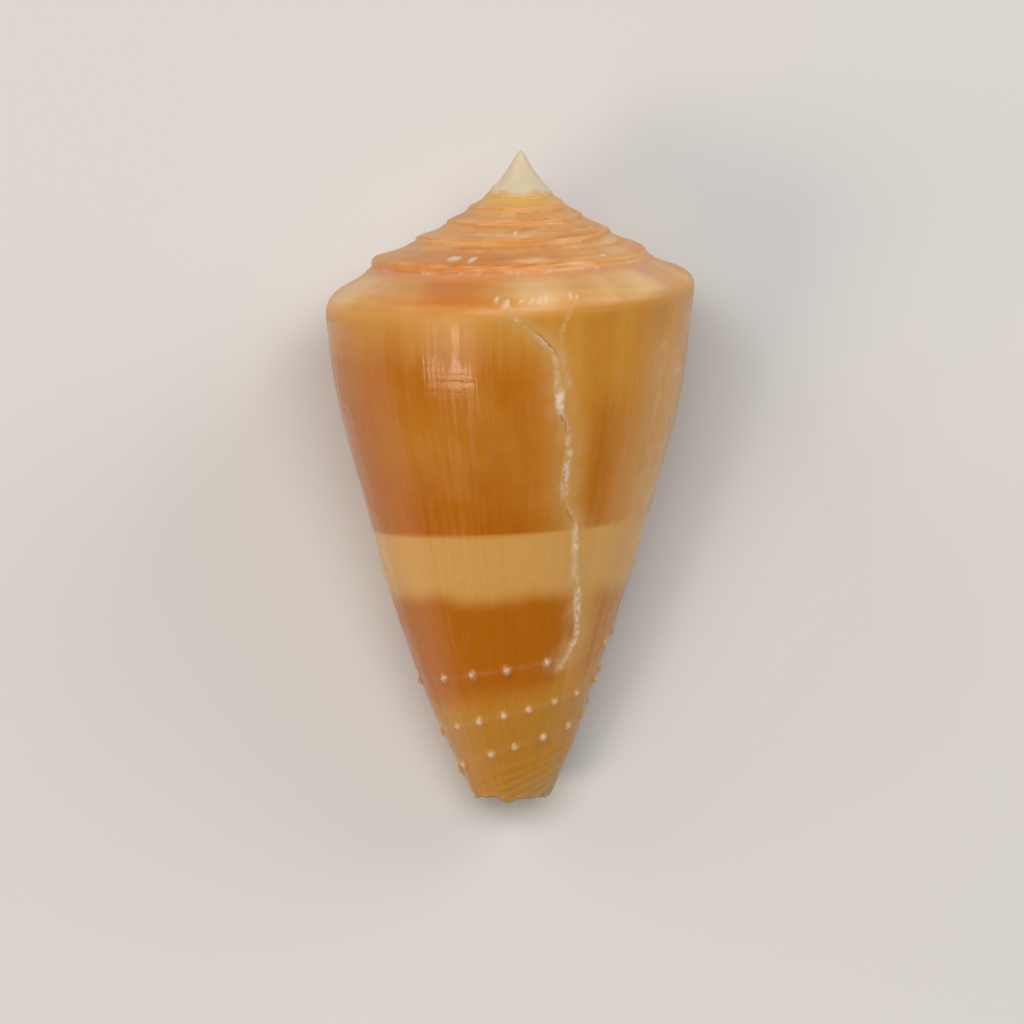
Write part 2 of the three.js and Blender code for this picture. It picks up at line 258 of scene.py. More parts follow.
@dataclass(frozen=True)
class Steps:
    """How finely the mesh is divided."""

    turn_columns: int = 324
    ramp_rows: int = 8
    edge_rows: int = 6
    riser_rows: int = 2
    side_rows: int = 164
    side_crowding: float = 0.45
    coarse: int = 4
    hollow_top: int = 8
    hollow_angle: float = 240.0
    apex_rings: int = 14

    @property
    def foot(self) -> int:
        """Row of the ledge's foot."""
        return self.ramp_rows + self.edge_rows + self.riser_rows

    @property
    def last(self) -> int:
        """Row of the base edge."""
        return self.foot + self.side_rows

    def side_place(self, row: int) -> float:
        """Share of the side below the foot at a row; rows crowd towards the base."""
        share = (row - self.foot) / self.side_rows
        return share * (1.0 + self.side_crowding) - self.side_crowding * share**2

    def down(self, row: int) -> float:
        """Share of the whole whorl's height at a row, from the seam to the base."""
        if row <= self.foot:
            return LEDGE_SHARE * row / self.foot
        return LEDGE_SHARE + (1.0 - LEDGE_SHARE) * self.side_place(row)


@dataclass(frozen=True)
class GranuleRow:
    """Spiral row of granules: its depth at the right outline and its descent in half a turn.

    Its granules stand at the given growth angles, and a faint thread may join them.
    """

    depth: float
    descent: float
    angles: tuple[float, ...]
    threaded: bool = True

    def depth_at(self, angle: Array | float) -> Array | float:
        """Depth of the row's line at a growth angle."""
        return self.depth + self.descent * angle / 180.0


@dataclass(frozen=True)
class Relief:
    """Low relief of the last whorl: granules, threads, cords, growth lines, healed break.

    All its heights and widths are in mm.
    """

    granule_radius: float = 0.22
    granule_height: float = 0.17
    thread_height: float = 0.012
    cord_height: float = 0.1
    healed_height: float = 0.03
    crust_height: float = 0.07
    break_step: float = 0.05
    second_height: float = 0.025
    droplet_rise: float = 0.09
    growth_height: float = 0.008
    swell_height: float = 0.03
    rows: tuple[GranuleRow, ...] = (
        GranuleRow(20.3, 2.0, (-96, -64, -32, 1), False),
        GranuleRow(23.2, 2.2, (-112, -84, -56, -28, 0), False),
        GranuleRow(
            23.66,
            2.6,
            (-105, -82, -60, -37, -16, 5, 27, 74, 98, 119, 140, 178, 200),
        ),
        GranuleRow(
            25.64,
            3.2,
            (-114, -95, -75, -56, -37, -18, 0, 20, 46, 65, 84, 102, 121, 142, 179, 200),
        ),
        GranuleRow(
            27.3,
            3.4,
            (-97, -73, -49, -25, -2, 23, 45, 70, 95, 117, 156, 178, 198),
        ),
    )
    cords: tuple[tuple[float, float], ...] = (
        (28.25, 3.6),
        (28.7, 3.6),
        (29.1, 3.6),
        (29.5, 3.7),
        (29.9, 3.7),
        (30.4, 3.8),
        (30.9, 3.9),
    )
    # Healed break from the shoulder down, each place an angle and a depth
    break_path: tuple[tuple[float, float], ...] = (
        (95.5, 6.4),
        (92.5, 7.4),
        (86, 8.1),
        (82, 8.7),
        (79.5, 9.2),
        (78.6, 10.2),
        (77.6, 11.8),
        (73.8, 12.7),
        (72.8, 13.6),
        (73.3, 15.8),
        (72.3, 16.5),
        (67.6, 17.5),
        (66, 18.4),
        (64.4, 20.2),
        (61.3, 21.1),
        (59, 22.5),
        (57.2, 23.5),
        (59.8, 24.2),
        (65.5, 25.2),
    )
    # Fainter line beside it
    second_path: tuple[tuple[float, float], ...] = (
        (72, 6.0),
        (74.5, 6.9),
        (77, 7.9),
        (77.5, 8.8),
        (76.5, 9.8),
        (73, 11.2),
    )
    # Thicker crust on the healed break, each place a depth, half its length and a strength
    crust_patches: tuple[tuple[float, float, float], ...] = (
        (11.5, 0.5, 1.2),
        (14.6, 1.6, 0.6),
        (18.6, 1.3, 0.35),
        (22.4, 1.7, 1.0),
    )
    # Dark cracks along the healed break, each a depth, half its length and a strength
    cracks: tuple[tuple[float, float, float], ...] = (
        (8.65, 0.55, 1.0),
        (12.45, 0.45, 0.8),
        (15.3, 0.5, 0.4),
        (17.2, 0.45, 0.8),
        (20.85, 0.15, 0.7),
    )
    # Glossy droplets on the shoulder, each an angle, a depth and a size
    droplets: tuple[tuple[float, float, float], ...] = (
        (97.5, 6.5, 0.9),
        (94.5, 6.7, 1.0),
        (89.9, 6.6, 0.7),
        (86.6, 6.55, 0.8),
        (84.2, 6.5, 0.7),
        (82.4, 6.45, 0.9),
        (74.4, 6.4, 0.9),
        (71.9, 6.45, 0.7),
    )

    def last_whorl(self, angle: Array) -> Array:
        """1 on the last whorl, growing in over its first part, and 0 on the spire."""
        return smoothstep(angle, -140, -110)

    def path_angle(self, path: tuple[tuple[float, float], ...], depth: Array) -> Array:
        """Growth angle of a path at each depth."""
        places = np.asarray(path)
        return np.interp(depth, places[:, 1], places[:, 0])

    def from_path(
        self, path: tuple[tuple[float, float], ...], angle: Array, depth: Array, radius: Array
    ) -> Array:
        """Distance around the whorl from a path, later growth being positive, in mm."""
        wander = 0.5 * mottle(0.0, depth / 1.4, 41, 4)
        return np.radians(angle - self.path_angle(path, depth) - wander) * radius

    def along_path(self, path: tuple[tuple[float, float], ...], depth: Array) -> Array:
        """1 along a path's run and 0 beyond its ends."""
        first = path[0][1]
        last = path[-1][1]
        return smoothstep(depth, first - 0.3, first + 0.3) * (
            1.0 - smoothstep(depth, last - 0.3, last + 0.3)
        )

    def granules(self, angle: Array, depth: Array, radius: Array) -> tuple[Array, Array]:
        """Height and colour share of the granules."""
        draw = np.random.default_rng(7)
        height = np.zeros(depth.shape)
        share = np.zeros(depth.shape)
        for row in self.rows:
            for place in row.angles:
                size = draw.uniform(0.85, 1.15) * (0.85 if row.depth < 23.5 else 1.0)
                across = np.radians(angle - place) * radius
                down = depth - row.depth_at(place)
                reach = self.granule_radius * size
                away = np.hypot(across, down) / reach
                crown = np.clip(1.0 - away**2, 0.0, 1.0) ** 0.8
                skirt = 0.12 * bell(away, 1.35)
                tip = 0.35 * bell(np.hypot(across, down + 0.06), 0.09)
                height = np.maximum(height, self.granule_height * size * (crown + tip))
                height = np.maximum(height, self.granule_height * skirt)
                share = np.maximum(share, smoothstep(1.15 - away, 0.0, 0.75))
        return height, share

    def threads(self, angle: Array, depth: Array) -> Array:
        """Share of the faint threads that join the granules."""
        share = np.zeros(depth.shape)
        for row in self.rows:
            if row.threaded:
                share = np.maximum(share, bell(depth - row.depth_at(angle), 0.1))
        return share * smoothstep(angle, -130, -110)

    def base_cords(self, angle: Array, depth: Array) -> Array:
        """Share of the oblique cords round the base."""
        share = np.zeros(depth.shape)
        for number, (start, descent) in enumerate(self.cords):
            line = start + descent * angle / 180.0 + 0.05 * mottle(angle / 25.0, number, 11)
            strength = 0.75 + 0.35 * mottle(angle / 30.0, number + 9.5, 12)
            share = np.maximum(share, strength * bell(depth - line, 0.15))
        older_side = 0.4 + 0.6 * (1.0 - smoothstep(angle, 60.0, 130.0))
        return share * older_side * smoothstep(angle, -130, -100)

    def crust(self, depth: Array) -> Array:
        """How thickly the healed break is crusted at each depth."""
        thick = 0.22 + 0.24 * mottle(0.0, depth / 0.45, 43, 3)
        for middle, reach, strength in self.crust_patches:
            thick = thick + strength * bell(depth - middle, reach)
        return np.clip(thick, 0.0, 1.3) * self.along_path(self.break_path, depth)

    def cracked(self, depth: Array) -> Array:
        """How dark the crack along the healed break is at each depth."""
        share = np.zeros(depth.shape)
        for middle, reach, strength in self.cracks:
            share = np.maximum(share, strength * bell(depth - middle, reach))
        return share

    def droplet_height(self, angle: Array, depth: Array, radius: Array) -> Array:
        """Share of the glossy droplets on the shoulder."""
        share = np.zeros(depth.shape)
        for place, low, size in self.droplets:
            away = np.hypot(np.radians(angle - place) * radius, depth - low) / (0.18 * size)
            share = np.maximum(share, size * np.clip(1.0 - away**2, 0.0, 1.0))
        return share

    def height(self, angle: Array, depth: Array, radius: Array, down: Array) -> Array:
        """Height of all the relief above the smooth form.

        Args:
            angle: Growth angles.
            depth: Depths below the apex.
            radius: Distances from the coiling axis.
            down: Shares of the whorl's height, from the seam to the base.

        Returns:
            Heights in mm.
        """
        last = self.last_whorl(angle)
        on_side = smoothstep(down, 0.17, 0.24)
        granules, _ = self.granules(angle, depth, radius)
        raised = granules * on_side * last
        raised += self.thread_height * self.threads(angle, depth) * on_side * last
        raised += self.cord_height * self.base_cords(angle, depth) * on_side * last
        beyond = self.from_path(self.break_path, angle, depth, radius)
        crust = self.crust(depth)
        knobs = 0.6 + 0.5 * mottle(depth / 0.35, angle / 6.0, 44, 2)
        healed = self.healed_height + self.crust_height * crust * knobs
        raised += healed * bell(beyond, 0.15) * (crust > 0)
        # The shell laid down after the break starts a little lower and rises again
        sunk = np.exp(-np.clip(beyond, 0.0, None) / 1.5) * smoothstep(beyond, -0.12, 0.05)
        raised -= self.break_step * sunk * self.along_path(self.break_path, depth)
        second = self.from_path(self.second_path, angle, depth, radius)
        faint = bell(second, 0.14) * self.along_path(self.second_path, depth)
        raised += self.second_height * faint
        raised += self.droplet_rise * self.droplet_height(angle, depth, radius) * last
        growth = mottle(angle / 4.2, depth * 0.02, 51, 3) * self.growth_height
        swell = mottle(angle / 22.0, depth / 9.0, 52, 2) * self.swell_height
        raised += (growth + swell) * smoothstep(down, 0.0, 0.05)
        return raised + self.ledge_height(angle, down, radius)

    def ledge_height(self, angle: Array, down: Array, radius: Array) -> Array:
        """Height of the spiral grooves, knobs and chips on the ledges."""
        on_ramp = smoothstep(down, 0.01, 0.04) * (1.0 - smoothstep(down, 0.1, 0.16))
        ledge = down / LEDGE_SHARE
        grooves = np.sin(ledge * 34.0 + mottle(angle / 60.0, 3.3, 61, 2)) * 0.006
        earlier = 1.0 - smoothstep(angle, -140, -100)
        on_edge = bell(ledge - 0.68, 0.22)
        around = np.radians(angle) * radius
        knobs = mottle(around / 0.75, ledge * 0.8, 62, 3) * 0.05 * on_edge * earlier
        # The next whorl's shell creeps up the step above it and fills the corner
        filled = 0.5 + 0.35 * mottle(around / 1.3, 0.5, 63, 3)
        corner = bell(ledge, 0.13) + bell(ledge - 1.0, 0.2) * earlier
        fillet = 0.11 * filled * corner * (ledge <= 1.0)
        return grooves * on_ramp + (knobs + fillet) * np.clip(radius / 5.0, 0.0, 1.0)

    def sutures(self, angle: Array, down: Array, radius: Array) -> Array:
        """Share of the pale specks along the spiral seams."""
        around = np.radians(angle) * radius
        specks = mottle(around / 0.55, down * 25.0, 64, 3)
        beside = bell(down, 0.014) + bell(down - LEDGE_SHARE, 0.02) * (angle < -140.0)
        return beside * smoothstep(specks, 0.1, 0.8)


class Skin:
    """Corners and faces of one closed mesh, with what the finish needs to know of each."""

    def __init__(self) -> None:
        """Start with no corners."""
        self.blocks: list[Array] = []
        self.count = 0
        self.quads: list[Array] = []
        self.triangles: list[tuple[int, int, int]] = []

    def add(self, place: Array, angle: Array, depth: Array, down: Array, zone: Zone) -> Array:
        """Add corners.

        Args:
            place: Points, with x, y and z last.
            angle: Growth angles.
            depth: Depths below the apex.
            down: Shares of the whorl's height.
            zone: Where they lie.

        Returns:
            Numbers of the corners, in the shape of the points.
        """
        shape = place.shape[:-1]
        traits = np.broadcast_arrays(angle, depth, down, zone.value, place[..., 0])[:4]
        block = np.concatenate([place] + [t[..., None] for t in traits], axis=-1)
        self.blocks.append(block.reshape(-1, 7))
        numbers = np.arange(self.count, self.count + block.size // 7).reshape(shape)
        self.count += block.size // 7
        return numbers

    def corners(self) -> Array:
        """All corners with their traits, one a row."""
        return np.concatenate(self.blocks)

    def sheet(self, numbers: Array) -> None:
        """Fill a grid of corners, columns first, with quads."""
        first, second = numbers[:-1], numbers[1:]
        quads = np.stack([first[:, :-1], second[:, :-1], second[:, 1:], first[:, 1:]], axis=-1)
        self.quads.append(quads.reshape(-1, 4))

    def strip(self, right: Array, left: Array) -> None:
        """Fill the gap between two chains, right and left as seen from outside, top first."""
        place = self.corners()[:, :3]
        r = 0
        s = 0
        while r < len(right) - 1 or s < len(left) - 1:
            can_right = r < len(right) - 1
            can_left = s < len(left) - 1
            if can_right and can_left:
                across = np.linalg.norm(place[right[r + 1]] - place[left[s]])
                back = np.linalg.norm(place[right[r]] - place[left[s + 1]])
                right_first = across <= back
            else:
                right_first = can_right
            following = right[r + 1] if right_first else left[s + 1]
            triangle = (int(right[r]), int(left[s]), int(following))
            if len(set(triangle)) == 3:
                self.triangles.append(triangle)
            if right_first:
                r += 1
            else:
                s += 1

    def faces(self) -> list[list[int]]:
        """All faces as lists of corner numbers."""
        quads = np.concatenate(self.quads).tolist()
        return quads + [list(t) for t in self.triangles]


def place_around(angle: Array, radius: Array, depth: Array) -> Array:
    """Points about the coiling axis, which lies along Y with the apex at the origin."""
    around = np.radians(angle)
    return np.stack([radius * np.cos(around), -depth, radius * np.sin(around)], axis=-1)


@dataclass
class ShellForm:
    """Builds the closed mesh of the whole shell."""

    coil: Coil = field(default_factory=Coil)
    steps: Steps = field(default_factory=Steps)
    relief: Relief = field(default_factory=Relief)
    wall: float = 0.6
    lip_share: float = 0.45
    lip_taper_angle: float = 25.0
    lip_bow: float = 5.0
    lip_fall_back: float = 9.0
    lip_bend_angle: float = 40.0
    tip: float = 12.6
    contact_depth: float = 0.06

    def __post_init__(self) -> None:
        """Number the columns at which the last whorl and the hollow begin."""
        turn = self.steps.turn_columns
        self.lip_column = turn * self.coil.whorls
        self.last_turn = self.lip_column - turn
        self.hollow_start = self.lip_column - round(self.steps.hollow_angle / TURN * turn)
        self.core_start = self.hollow_start - turn

    def angle_of(self, column: Array | int) -> Array:
        """Growth angle of a column."""
        return self.coil.first_angle + np.asarray(column, float) * TURN / self.steps.turn_columns

    def ledge_row(self, angle: Array, row: int) -> tuple[Array, Array]:
        """Radius and depth on a ledge, from the seam above to its foot."""
        coil, steps = self.coil, self.steps
        seam_radius, seam_depth = coil.seam(angle)
        corner_radius, corner_depth = coil.corner_radius(angle), coil.corner_depth(angle)
        rounding = coil.rounding(angle)
        width = np.hypot(corner_radius - seam_radius, corner_depth - seam_depth)
        ramp_share = 1.0 - np.minimum(0.5, rounding / width)

        def sagged(share: Array) -> tuple[Array, Array]:
            """Radius and depth on the hollow ramp, which runs straight into the rounding."""
            hollow = share / ramp_share * (1.0 - share / ramp_share) ** 2
            sag = coil.ramp_hollow * (corner_radius - seam_radius) * 3.0 * hollow
            radius = seam_radius + (corner_radius - seam_radius) * share
            return radius, seam_depth + (corner_depth - seam_depth) * share + sag

        if row < steps.ramp_rows:
            return sagged(ramp_share * row / steps.ramp_rows)
        edge_along = coil.along_at(angle, rounding)
        if row <= steps.ramp_rows + steps.edge_rows:
            t = (row - steps.ramp_rows) / steps.edge_rows
            start, end = sagged(ramp_share), coil.side(angle, edge_along)
            # The ramp's line and the side's line cross at the corner that the rounding is drawn
            # by, so it leaves the one and meets the other without a crease
            below = coil.side(angle, edge_along + 0.01)
            slope = (corner_radius - start[0], corner_depth - start[1])
            rise = (end[0] - below[0], end[1] - below[1])
            turned = rise[0] * slope[1] - rise[1] * slope[0]
            reach = ((start[0] - end[0]) * slope[1] - (start[1] - end[1]) * slope[0]) / turned
            corner = (end[0] + reach * rise[0], end[1] + reach * rise[1])
            weights = ((1 - t) ** 2, 2 * t * (1 - t), t * t)
            return tuple(
                sum(w * p[n] for w, p in zip(weights, (start, corner, end))) for n in (0, 1)
            )
        t = (row - steps.ramp_rows - steps.edge_rows) / steps.riser_rows
        return coil.side(angle, edge_along + (coil.foot_along(angle) - edge_along) * t)

    def profile(self, angle: Array, row: int) -> tuple[Array, Array]:
        """Radius and depth of a row: ledge rows first, then rows down the side."""
        coil, steps = self.coil, self.steps
        if row > steps.foot:
            foot = coil.foot_along(angle)
            return coil.side(angle, foot + (1.0 - foot) * steps.side_place(row))
        radius, depth = self.ledge_row(angle, row)
        _, seam = self.ledge_row(angle, 0)
        _, foot = self.ledge_row(angle, steps.foot)
        smooth = seam + (foot - seam) * row / steps.foot
        grown = smoothstep(angle, coil.first_angle, coil.first_angle + TURN)
        radius = coil.apex_radius(smooth) * (1.0 - grown) + radius * grown
        return radius, smooth * (1.0 - grown) + depth * grown

    def swung(self, angle: Array, row: int) -> Array:
        """Growth angle after the bend of the lip's edge."""
        near = smoothstep(angle, self.coil.lip_angle - self.lip_bend_angle, self.coil.lip_angle)
        down = self.steps.down(row)
        fall_back = self.lip_fall_back * (1.0 - smoothstep(down, 0.0, 0.3))
        swing = self.lip_bow * math.sin(math.pi * down) - fall_back
        swing += 0.5 * float(mottle(down * 14.0, 0.5, 71, 3)) * math.sin(math.pi * down)
        return angle + near * swing * min(1.0, down / 0.052)

    def outer_grid(self, columns: Array, rows: range) -> tuple[Array, Array, Array, Array]:
        """Angles, radii, depths and height shares of a patch of the outside."""
        base = self.angle_of(columns)
        angle = np.stack([self.swung(base, row) for row in rows], axis=1)
        pairs = [self.profile(angle[:, n], row) for n, row in enumerate(rows)]
        radius = np.stack([pair[0] for pair in pairs], axis=1)
        depth = np.stack([pair[1] for pair in pairs], axis=1)
        down = np.broadcast_to([self.steps.down(row) for row in rows], depth.shape)
        return angle, radius, depth, down

    def raised(self, angle: Array, radius: Array, depth: Array, down: Array) -> Array:
        """Points of a patch of the outside with their relief."""
        place = place_around(angle, radius, depth)
        outward = np.cross(np.gradient(place, axis=0), np.gradient(place, axis=1))
        outward /= np.maximum(np.linalg.norm(outward, axis=-1, keepdims=True), 1e-9)
        height = self.relief.height(angle, depth, radius, down)
        return place + outward * height[..., None]

    def inner_points(self, columns: Array, row: int) -> tuple[Array, Array, Array]:
        """Points, angles and depths of a row on the inside of the last whorl's wall."""
        base = self.angle_of(columns)
        angle = self.swung(base, row)
        here_radius, here_depth = self.profile(angle, row)
        before = self.profile(angle, max(row - 1, 0))
        after = self.profile(angle, min(row + 1, self.steps.last))
        run_radius, run_depth = after[0] - before[0], after[1] - before[1]
        size = np.hypot(run_radius, run_depth)
        taper = smoothstep(self.coil.lip_angle - base, 0.0, self.lip_taper_angle)
        wall = self.wall * (self.lip_share + (1.0 - self.lip_share) * taper)
        radius = here_radius - np.abs(run_depth / size) * wall
        radius = np.maximum(radius, self.coil.columella_radius + 0.1)
        depth = here_depth + (0.0 if row == self.steps.last else 1.0) * run_radius / size * wall
        return place_around(angle, radius, depth), angle, depth

    def build(self) -> Skin:
        """Make the whole mesh in the shell's own frame."""
        skin = Skin()
        turn, foot, last = self.steps.turn_columns, self.steps.foot, self.steps.last
        columns = np.arange(self.lip_column + 1)

        # Outside: ledges of the spire, then ledge and side of the last whorl
        spire = self.outer_grid(columns[: self.last_turn + 1], range(foot + 1))
        body = self.outer_grid(columns[self.last_turn :], range(last + 1))
        spire_points = self.raised(*spire)
        body_points = self.raised(*body)
        outer = np.full((self.lip_column + 1, last + 1), -1)
        own = slice(0, self.last_turn)
        outer[own, : foot + 1] = skin.add(
            spire_points[own], spire[0][own], spire[2][own], spire[3][own], Zone.OUTSIDE
        )
        outer[self.last_turn :] = skin.add(body_points, body[0], body[2], body[3], Zone.OUTSIDE)
        for column in range(turn, self.lip_column + 1):
            outer[column, 0] = outer[column - turn, foot]
        skin.sheet(outer[: self.last_turn + 1, : foot + 1])
        skin.sheet(outer[self.last_turn :])
        self.add_apex(skin, outer)
        self.add_hollow(skin, outer)
        return skin

    def add_apex(self, skin: Skin, outer: Array) -> None:
        """Close the top with the smooth cone of the first whorls."""
        turn, rings = self.steps.turn_columns, self.steps.apex_rings
        angle = self.angle_of(np.arange(turn))[:, None]
        _, seam = self.coil.seam(angle)
        depth = seam * (np.arange(1, rings) / rings) ** 2
        place = place_around(angle + 0.0 * depth, self.coil.apex_radius(depth), depth)
        cone = skin.add(place, angle, depth, 0.0, Zone.OUTSIDE)
        point = skin.add(np.zeros((1, 3)), 0.0, 0.0, 0.0, Zone.OUTSIDE)
        chains = np.concatenate([np.full((turn, 1), point[0]), cone, outer[:turn, :1]], axis=1)
        skin.sheet(chains[:, 1:])
        for column in range(turn - 1):
            skin.triangles.append((point[0], chains[column + 1, 1], chains[column, 1]))
        below = np.concatenate([chains[0], outer[0, 1 : self.steps.foot + 1]])
        skin.strip(chains[turn - 1], below)

    def add_hollow(self, skin: Skin, outer: Array) -> None:
        """Add the hollow behind the lip, the lip's rounded edge and the base."""
        steps = self.steps
        turn, foot, last, coarse = steps.turn_columns, steps.foot, steps.last, steps.coarse
        top = foot + steps.hollow_top
        core_columns = np.arange(self.core_start, self.last_turn, coarse)
        core_rows = list(range(top, last + 1, coarse))
        base = self.angle_of(core_columns)
        core_parts = [self.profile(base, row) for row in core_rows]
        radius = np.stack([part[0] for part in core_parts], axis=1)
        depth = np.stack([part[1] for part in core_parts], axis=1)
        place = place_around(base[:, None] + 0.0 * depth, radius, depth)
        core = skin.add(place, base[:, None], depth, 0.5, Zone.INSIDE)
        skin.sheet(core)
        skin.strip(core[-1], outer[self.last_turn, top:])

        ramp = list(range(coarse, steps.ramp_rows + 1, coarse))
        edge = list(range(steps.ramp_rows + 2, foot + 1, 2))
        inner_rows = ramp + edge + list(range(foot + coarse, last + 1, coarse))
        wall_columns = np.arange(self.hollow_start, self.lip_column + 1, coarse)
        layers = []
        for row in inner_rows:
            place, angle, depth = self.inner_points(wall_columns, row)
            layers.append(skin.add(place, angle, depth, steps.down(row), Zone.INSIDE))
        roof = np.append(core[:, 0], outer[self.last_turn, top])
        inner = np.column_stack([roof] + layers)
        skin.sheet(inner[::-1])
        skin.strip(inner[0], core[0])

        rim_columns = np.arange(self.lip_column - 1, self.hollow_start - 1, -1)
        outside = np.concatenate([outer[self.lip_column], outer[rim_columns, last]])
        inside = np.concatenate(
            [outer[self.last_turn, foot:top], inner[-1], inner[-2::-1, -1]]
        )
        chains = self.rounded_edge(skin, outside, inside)
        for right, left in zip(chains[:-1], chains[1:]):
            skin.strip(right, left)
        notch = [chain[-1] for chain in chains]
        ring = np.concatenate(
            [outer[self.last_turn : self.hollow_start, last], notch, core[:, -1]]
        )
        self.add_base_end(skin, ring)

    def rounded_edge(self, skin: Skin, outside: Array, inside: Array) -> list[Array]:
        """Chains that round the lip and the base rim from the outside to the inside."""
        corners = skin.corners()
        outer_place = corners[outside, :3]
        line = corners[inside, :3]
        start, run = line[:-1], np.diff(line, axis=0)
        length = np.maximum((run**2).sum(axis=1), 1e-12)
        offset = outer_place[:, None] - start[None]
        share = np.clip((offset * run[None]).sum(axis=2) / length, 0.0, 1.0)
        foot = start[None] + share[..., None] * run[None]
        gap = np.linalg.norm(foot - outer_place[:, None], axis=2)
        nearest = foot[np.arange(len(outside)), gap.argmin(axis=1)]
        nearest[-1] = line[-1]
        across = nearest - outer_place
        along = np.gradient(outer_place, axis=0)
        bulge = np.cross(along, across)
        bulge /= np.maximum(np.linalg.norm(bulge, axis=1, keepdims=True), 1e-9)
        half = np.minimum(np.linalg.norm(across, axis=1, keepdims=True) / 2.0, 0.2)
        chains = [outside]
        for turned in (45.0, 90.0, 135.0):
            share = 0.5 - 0.5 * math.cos(math.radians(turned))
            place = outer_place + across * share + bulge * half * math.sin(math.radians(turned))
            traits = corners[outside]
            numbers = skin.add(place[1:], traits[1:, 3], traits[1:, 4], traits[1:, 5], Zone.OUTSIDE)
            chains.append(np.concatenate([outside[:1], numbers]))
        chains.append(inside)
        return chains

    def add_base_end(self, skin: Skin, ring: Array) -> None:
        """Close the end of the columella with a low dome inside a ring of corners."""
        corners = skin.corners()
        tip = np.array([0.0, -self.coil.length - 0.05, 0.0])
        rings = [ring]
        for share in (0.35, 0.7):
            place = corners[ring, :3] * (1.0 - share) + tip * share
            place[:, 1] -= 0.12 * math.sin(math.pi * share)
            rings.append(skin.add(place, corners[ring, 3], -place[:, 1], 1.0, Zone.OUTSIDE))
        centre = skin.add(tip[None], 0.0, self.coil.length, 1.0, Zone.OUTSIDE)[0]
        for wide, narrow in zip(rings[:-1], rings[1:]):
            closed = np.stack([np.append(wide, wide[0]), np.append(narrow, narrow[0])], axis=1)
            skin.sheet(closed)
        inmost = np.append(rings[-1], rings[-1][0])
        for first, second in zip(inmost[:-1], inmost[1:]):
            skin.triangles.append((int(first), int(second), int(centre)))

    def tipped(self, place: Array) -> Array:
        """Points after the apex is tipped up."""
        tip = math.radians(self.tip)
        forward = place[:, 1] * math.cos(tip) - place[:, 2] * math.sin(tip)
        upward = place[:, 1] * math.sin(tip) + place[:, 2] * math.cos(tip)
        return np.stack([place[:, 0], forward, upward], axis=1)

    def resting_place(self, place: Array) -> Array:
        """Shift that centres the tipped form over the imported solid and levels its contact."""
        turned = self.tipped(place)
        low, high = (np.array(corner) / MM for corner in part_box("shell"))
        return np.array(
            [
                (low[0] + high[0] - turned[:, 0].min() - turned[:, 0].max()) / 2.0,
                high[1] - turned[:, 1].max(),
                -turned[:, 2].min() - self.contact_depth,
            ]
        )

    def lie_down(self, place: Array, shift: Array) -> Array:
        """Points of the shell as it lies, in metres, with the contact flattened."""
        laid = self.tipped(place) + shift
        laid[:, 2] = np.maximum(laid[:, 2], 0.0)
        return laid * MM


